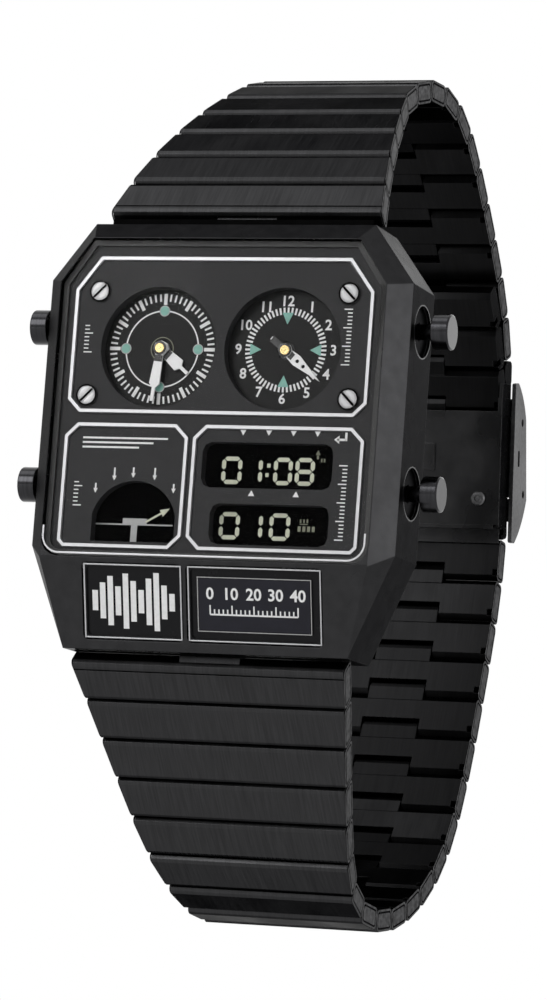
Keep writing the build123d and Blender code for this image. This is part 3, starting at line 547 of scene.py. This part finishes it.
# The face plate's arrows, notches, rulers and short lines
ARROWS = ((-10.4, -4.36, -5.2), (-8.75, -3.0, -4.1), (-7.02, -2.95, -3.85), (-5.05, -2.95, -4.0),
          (-3.25, -4.3, -5.1))    # x, top and point
RULERS = ((-12.5, 7.0, 9.3, 1), (-12.4, -6.3, -4.3, 1), (11.75, 6.2, 10.95, -1),
          (12.25, -8.7, -2.4, -1))    # x, foot, top and the side that the ticks reach to
RULER_STEP, LONG_TICK, SHORT_TICK, TICK_HALF = 0.32, 0.75, 0.42, 0.05
NOTCH_HALF = 0.28
marks = []
for x, top, foot in ARROWS:
    marks.append(box(x - 0.07, x + 0.07, foot + 0.35, top))
    marks.append([(x - 0.2, foot + 0.4), (x + 0.2, foot + 0.4), (x, foot)])
for xs, base, point in (((2.7, 5.02, 7.23, 9.39), 0.50, 0.02), ((3.81, 7.82), -5.16, -4.68)):
    for x in xs:
        marks.append([(x - NOTCH_HALF, base), (x + NOTCH_HALF, base), (x, point)])
for x, foot, top, side in RULERS:
    count = round((top - foot) / RULER_STEP)
    for k in range(count + 1):
        reach = x + side * (LONG_TICK if k % 5 == 0 else SHORT_TICK)
        z = foot + (top - foot) * k / count
        marks.append(box(min(x, reach), max(x, reach), z - TICK_HALF, z + TICK_HALF))
for k in range(3):
    marks.append(box(-11.9, -4.1 - 1.3 * k, -0.52 - 0.40 * k, -0.36 - 0.40 * k))
marks.append(bar(11.15, -0.20, 11.95, -0.20, 0.2))
marks.append(bar(11.95, -0.30, 11.95, 0.42, 0.2))
marks.append([(11.35, 0.15), (11.35, -0.55), (10.9, -0.2)])
print_marks("face_marks", marks, face_place(FACE_Y), white_print)

# Inlays on the sloping foot: a row of upright bars at the left, a ruler with plain numbers at the right
BARS = (0.35, 0.62, 0.85, 0.5, 0.95, 0.7, 0.4, 0.8, 1.0, 0.58, 0.3)    # shares of the tallest
BARS_LEFT, BARS_RIGHT, BARS_SIDE = -10.57, -2.13, 0.35
BARS_LEVEL, BARS_REACH, BAR_HALF = 4.2, 2.5, 0.25
SCALE_START, SCALE_STOP, SCALE_LONG, SCALE_LEVEL = 0.7, 8.6, 7.9, 3.35
SCALE_TICKS, SCALE_NUMBERS = 20, 4
LONG_TOP, SHORT_TOP, SCALE_TICK_HALF = 4.15, 3.8, 0.06
NUMBER_LEVEL, NUMBER_TALL = 5.15, 1.05
BAR_SINK, RIM_SINK, RULER_SINK = 0.32, 0.12, 0.09    # of the grounds, into the slope
step = (BARS_RIGHT - BARS_LEFT - 2 * BARS_SIDE) / len(BARS)
bars = []
for k, share in enumerate(BARS):
    x = BARS_LEFT + BARS_SIDE + step * (k + 0.5)
    reach = share * BARS_REACH
    bars.append(box(x - BAR_HALF, x + BAR_HALF, BARS_LEVEL - reach, BARS_LEVEL + reach))
print_marks("left_inlay_bars", bars, slope_place(BAR_SINK), white_print)

on_rim = slope_place(RIM_SINK)
on_right = slope_place(RULER_SINK)
edges = frame_of((-10.82, -1.88, 0.98, 7.42), 0.13) + frame_of((-1.32, 10.67, 0.98, 7.42), 0.12)
print_marks("inlay_edges", edges, on_rim, bright)
print_marks("right_inlay_field", [box(-0.32, 9.67, 1.98, 6.42)], on_rim, inlay_field, thick=0.02)
print_marks("right_inlay_line", frame_of((-0.45, 9.80, 1.85, 6.55), 0.07), on_rim, grey_print)
ruler = [bar(SCALE_START, SCALE_LEVEL, SCALE_STOP, SCALE_LEVEL, 0.14)]
for k in range(SCALE_TICKS + 1):
    x = SCALE_START + SCALE_LONG * k / SCALE_TICKS
    top = LONG_TOP if k % 5 == 0 else SHORT_TOP
    ruler.append(box(x - SCALE_TICK_HALF, x + SCALE_TICK_HALF, SCALE_LEVEL, top))
print_marks("right_inlay_scale", ruler, on_right, white_print)
numbers = [(str(10 * k), SCALE_START + SCALE_LONG * k / SCALE_NUMBERS, NUMBER_LEVEL)
           for k in range(SCALE_NUMBERS + 1)]
figures("right_inlay_numbers", numbers, NUMBER_TALL, on_right, white_print)


def opening_highlight_line(inset, wide, reach=14.8, corner=1.6, rise=2.4):
    """A painted highlight: a bright line inside the lower edge of the bezel's opening, round its corners and
    a short way up its sides.
    """
    side = reach - inset
    foot = VIEW_FOOT + inset

    def run(within):
        left = arc(-side + corner, foot + corner, corner - within, 180, 270, 10)
        right = arc(side - corner, foot + corner, corner - within, 270, 360, 10)
        return [(-side + within, foot + rise)] + left + right + [(side - within, foot + rise)]
    outer, inner = run(0), run(wide)
    return [[outer[k], outer[k + 1], inner[k + 1], inner[k]] for k in range(len(outer) - 1)]


# Painted highlight along the lower edge of the bezel's opening
print_marks("opening_edge_highlight", opening_highlight_line(0.18, 0.16), face_place(CRYSTAL_Y), bright)


# Painted shade along the sloped sides of the silver frames; dark slots and rims of the face screws
def cut_box(outer, cuts, inset):
    """A box with cut corners, drawn in by an inset. Its cuts go round from the lower left corner."""
    left, right, foot, top = outer[0] + inset, outer[1] - inset, outer[2] + inset, outer[3] - inset
    (ax, az), (bx, bz), (cx, cz), (dx, dz) = [(x - 0.586 * inset, z - 0.586 * inset) for x, z in cuts]
    return [(left, foot + az), (left + ax, foot), (right - bx, foot), (right, foot + bz), (right, top - cz),
            (right - cx, top), (left + dx, top), (left, top - dz)]


PLAIN_CUT, SOFT_CUT, HIGH_CUT = (1.15, 1.15), (0.55, 0.55), (2.2, 2.9)
FRAMES = (
    ((-13.63, 13.63, 1.7, 15.4), (PLAIN_CUT, PLAIN_CUT, HIGH_CUT, HIGH_CUT)),
    ((-13.63, -2.2, -9.95, 0.9), (SOFT_CUT, PLAIN_CUT, PLAIN_CUT, PLAIN_CUT)),
    ((-1.85, 13.63, -9.95, 0.9), (PLAIN_CUT, SOFT_CUT, PLAIN_CUT, PLAIN_CUT)),
)
SCREWS = ((11.35, 12.3), (11.88, 3.25))
SLOT_REACH, SLOT_WIDE, SCREW_RIM = 0.52, 0.19, (0.95, 0.81)
FRAME_RISE, SCREW_RISE = 0.12, 0.16    # over the face plate
# Painted shade strips along the outer and inner edges of each frame
sides = []
for outer, cuts in FRAMES:
    for near, far in ((0.0, 0.06), (0.34, 0.42)):
        sides += ring_strips(cut_box(outer, cuts, near), cut_box(outer, cuts, far))
print_marks("frame_side_shades", sides, face_place(FACE_Y - FRAME_RISE), frame_side_shade, thick=THIN)
slots = []
for x, z in SCREWS:
    for side in (-1, 1):
        slots.append(bar(side * x - SLOT_REACH, z + side * SLOT_REACH, side * x + SLOT_REACH,
                         z - side * SLOT_REACH, SLOT_WIDE))
        slots += round_line(side * x, z, *SCREW_RIM, 32)
print_marks("screw_slots", slots, face_place(FACE_Y - SCREW_RISE), slot_and_shade_black, thick=THIN)

# Hub caps over the hands, and turned push buttons with the rims of their bores. Profiles are (along, radius).
HUB = [(0, 0.42), (0.03, 0.42), (0.07, 0.38), (0.07, 0.26), (0.04, 0.24), (0.04, 0.10), (0.09, 0.08)]
BUTTON = [(14.0, 0.68), (17.6, 0.68), (17.6, 1.46), (17.63, 1.51), (17.68, 1.53), (19.03, 1.53),
          (19.11, 1.50), (19.15, 1.42), (19.15, 0.2)]
BORE_RIM = [(16.44, 2.33), (16.50, 2.33), (16.50, 2.22), (16.44, 2.22)]
for name, x, body in (("left_hub", -DIAL_X, "minute_hand"), ("right_hub", DIAL_X, "zone_hand")):
    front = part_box(body)[0].y / MM
    lathe(name, HUB, (x, front, DIAL_Z), (0, -1, 0), brass, body)
for hand, side in ENDS:
    for level, row in ROWS:
        name = f"{level}_{hand}_button"
        centre = (0, BUTTON_Y, row)
        profile = [(side * along, radius) for along, radius in BUTTON]
        button = lathe(f"turned_{name}", profile, centre, (1, 0, 0), cap_steel, name, 72)
        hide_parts(name)
        profile = [(side * along, radius) for along, radius in BORE_RIM]
        lathe(f"rim_of_{name}", profile, centre, (1, 0, 0), rim_grey, "case", 64, hoop=True)

# Dark roots and round bosses of the hands. A span is (inner radius, outer radius, width).
BOSS = [(0.005, 0.60), (0.02, 0.60), (0.025, 0.57), (0.025, 0.40)]
ROOTS = (    # name, x, turn of the hand, spans, how far the blade lies behind the hand's front, and the body
    ("minute_root", -DIAL_X, 186, ((0.60, 1.15, 0.72),), 0.15, "minute_hand"),
    ("hour_root", -DIAL_X, 130, ((0.60, 1.05, 0.86),), 0.0, "hour_hand"),
    ("zone_root", DIAL_X, 129, ((0.55, 0.95, 0.62), (-1.62, -0.55, 0.62)), 0.15, "zone_hand"),
)
for name, x, turn, spans, sunk, body in ROOTS:
    ground = face_place(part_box(body)[0].y / MM + sunk)
    strokes = [spoke(x, DIAL_Z, turn, *span) for span in spans]
    print_marks(name, strokes, ground, black_lacquer, body, thick=0.01)
for name, x, body in (("left_boss", -DIAL_X, "minute_hand"), ("right_boss", DIAL_X, "zone_hand")):
    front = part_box(body)[0].y / MM
    lathe(name, BOSS, (x, front, DIAL_Z), (0, -1, 0), black_lacquer, body)


# Folded sheet at the ends of the slats, with painted highlights: a light ring round each end's edge and a
# light plate inside it
def end_outline(inset):
    """The outline of a slat's end, drawn in by an inset, along the band and outwards."""
    left, right, foot, top = inset - LEAD, SLAT_END - inset, INNER + inset, OUTER - inset
    radius = max(0.5 - 0.7 * inset, 0.1)
    points = []
    for x, z, start in ((right - radius, top - radius, 0), (left + radius, top - radius, 90),
                        (left + radius, foot + radius, 180), (right - radius, foot + radius, 270)):
        points += arc(x, z, radius, start, start + 90, 4)
    return points


def band_half(index, taper):
    """Half the band's width at a pin, counted from the case. After the taper the band is narrow."""
    return (NARROW + (WIDE - NARROW) * max(0, 1 - index / taper)) / 2


fold_highlights = ring_strips(end_outline(0.03), end_outline(0.20)) + [end_outline(0.38)]
band_ends = {}
for word, side, turns, pin, taper in BANDS:
    for index, turn in enumerate(turns):
        number = f"{index + 1:02d}"
        body = next(name for name in nodes if name.startswith(f"{word}_link") and f"_{number}" in name)
        halves = (band_half(index, taper), band_half(index + 1, taper))
        for label, end in ENDS:
            ground = end_place(pin, turn, side, halves, end)
            print_marks(f"{label}_fold_{word}_{number}", fold_highlights, ground, fold_highlight_and_stud_grey, body, thick=0.02)
        pin = (pin[0] + PITCH * cos(radians(turn)), pin[1] + PITCH * sin(radians(turn)))
    band_ends[word] = pin

# The clasp's inner plate: side walls, lower lip with its foot, and a stud. It lies between the bands' ends.
clasp_y, clasp_z = band_ends["lower"]
lean = atan2(band_ends["upper"][1] - clasp_z, band_ends["upper"][0] - clasp_y) * 180 / pi
lean_s, lean_c = sin(radians(lean)), cos(radians(lean))
WALL = box(0.4, 14.2, -2.9, -0.3)
LIP, LIP_FOOT = box(-8.15, 8.15, -3.2, -0.95), box(-8.15, 8.15, -1.15, -0.97)
STUD = [(-0.05, 0.70), (0.10, 0.70), (0.22, 0.58), (0.22, 0.34), (0.10, 0.28), (0.10, 0.05)]
STUD_SPOT = (6.6, 3.1, -3.2)    # x, along the plate and outwards from it


def clasp_point(x, along, out):
    """A point in millimetres, along the inner plate from the lower band's end and outwards from it."""
    return Vector((x, clasp_y + along * lean_c + out * lean_s, clasp_z + along * lean_s - out * lean_c))


def lip_place(start):
    """A ground across the clasp, from a start along it, with coordinates x and outwards."""
    return lambda x, out, high: clasp_point(x, start + high, out) * MM


for label, end in ENDS:
    ground = end_place((clasp_y, clasp_z), lean, -1, (CLASP_HALF, CLASP_HALF), end)
    print_marks(f"{label}_clasp_wall", [WALL], ground, plate_steel, "clasp", thick=0.33)
print_marks("clasp_lip", [LIP], lip_place(0.2), plate_steel, "clasp", thick=0.38)
lathe("clasp_stud", STUD, clasp_point(*STUD_SPOT), (0, -lean_s, lean_c), fold_highlight_and_stud_grey, "clasp")
print_marks("clasp_lip_foot", [LIP_FOOT], lip_place(-1.15), plate_steel, "clasp", thick=1.4)

# Painted shade: black strips that close the case's ends in front of the first slats, standing in for the
# shaded gap there
print_marks("upper_end_shade_strip", [box(-11.9, 11.9, 18.52, 19.25)], face_place(-5.6), slot_and_shade_black, thick=0.4)
print_marks("lower_end_shade_strip", [box(-12.1, 12.1, -18.68, -18.52)], face_place(-6.5), slot_and_shade_black, thick=0.3)

# Camera, at the photograph's viewing angle
AZIMUTH, ELEVATION, ROLL = radians(20.19), radians(-7.30), radians(4.15)
DISTANCE, SHIFT_RIGHT, SHIFT_UP = 382.23, 5.05, -6.26
AIM = Vector((0, -9.0, 0.74))
right = Vector((cos(AZIMUTH), sin(AZIMUTH), 0))
look = Vector((-sin(AZIMUTH) * cos(ELEVATION), cos(AZIMUTH) * cos(ELEVATION), -sin(ELEVATION)))
up = right.cross(look)
right, up = right * cos(ROLL) + up * sin(ROLL), up * cos(ROLL) - right * sin(ROLL)
stand = (right * SHIFT_RIGHT + up * SHIFT_UP - look * DISTANCE + AIM) * MM
camera = bpy.data.objects.new("camera", bpy.data.cameras.new("camera"))
camera.data.lens = 162
camera.data.sensor_width = 36
camera.data.clip_start = 0.01
camera.data.clip_end = 20
camera.matrix_world = Matrix.Translation(stand) @ Matrix((right, up, -look)).transposed().to_4x4()
bpy.context.scene.collection.objects.link(camera)
bpy.context.scene.camera = camera
bpy.context.scene.view_settings.view_transform = "Standard"


# Light
def lamp(name, spot, size, watts):
    """A square area lamp that points at the origin."""
    data = bpy.data.lights.new(name, "AREA")
    data.size = size
    data.energy = watts
    light = bpy.data.objects.new(name, data)
    light.location = spot
    light.rotation_mode = "QUATERNION"
    light.rotation_quaternion = (-Vector(spot)).to_track_quat("-Z", "Y")
    bpy.context.scene.collection.objects.link(light)


lamp("front", (-0.42, -0.58, 0.34), 0.42, 3.0)
lamp("top", (-0.24, -0.12, 0.56), 0.26, 0.42)
lamp("side", (0.75, -0.08, 0.10), 0.35, 0.9)
lamp("back", (0.10, 0.70, 0.30), 0.4, 0.25)

# World: plain light that is stronger from the front, and white where the backdrop is seen or mirrored
WHITE = (1, 1, 1, 1)
world = bpy.data.worlds.new("studio")
bpy.context.scene.world = world
world.use_nodes = True
tree = world.node_tree
ambient = tree.nodes["Background"]
ambient.inputs["Color"].default_value = WHITE
backdrop = add_node(tree, "Background", Color=WHITE)
where = add_node(tree, "TexCoord")
split = add_node(tree, "SeparateXYZ")
shade = add_node(tree, "MapRange", From_Min=-0.9, From_Max=0.4, To_Min=0.42, To_Max=0.10)
either = add_node(tree, "MixShader")
tree.links.new(where.outputs["Generated"], split.inputs["Vector"])
tree.links.new(split.outputs["Y"], shade.inputs["Value"])
tree.links.new(shade.outputs["Result"], ambient.inputs["Strength"])
tree.links.new(seen_by(tree, "Is Camera Ray", "Is Transmission Ray", "Is Glossy Ray"), either.inputs["Fac"])
tree.links.new(ambient.outputs["Background"], either.inputs[1])
tree.links.new(backdrop.outputs["Background"], either.inputs[2])
tree.links.new(either.outputs["Shader"], tree.nodes["World Output"].inputs["Surface"])

# Floor: pale, and lifted towards white where it is seen or mirrored, so that it keeps the object's shadow
FLOOR_HALF, FLOOR_LEVEL, FLOOR_GLOW = 1.2, -0.075, 0.60
floor_mesh = bpy.data.meshes.new("floor")
floor_mesh.from_pydata([(x, y, 0) for x, y in box(-FLOOR_HALF, FLOOR_HALF, -FLOOR_HALF, FLOOR_HALF)], [],
                       [(0, 1, 2, 3)])
floor_white = plain("floor_white", (0.82, 0.82, 0.82), rough=0.7, fleck=0.02, scale=20, edge=None)
tree = floor_white.node_tree
shader = tree.nodes["Principled BSDF"]
shader.inputs["Emission Color"].default_value = WHITE
glow = add_node(tree, "MapRange", To_Max=FLOOR_GLOW)
tree.links.new(seen_by(tree, "Is Camera Ray", "Is Glossy Ray"), glow.inputs["Value"])
tree.links.new(glow.outputs["Result"], shader.inputs["Emission Strength"])
floor_mesh.materials.append(floor_white)
floor = bpy.data.objects.new("floor", floor_mesh)
floor.location = (0, 0, FLOOR_LEVEL)
bpy.context.scene.collection.objects.link(floor)
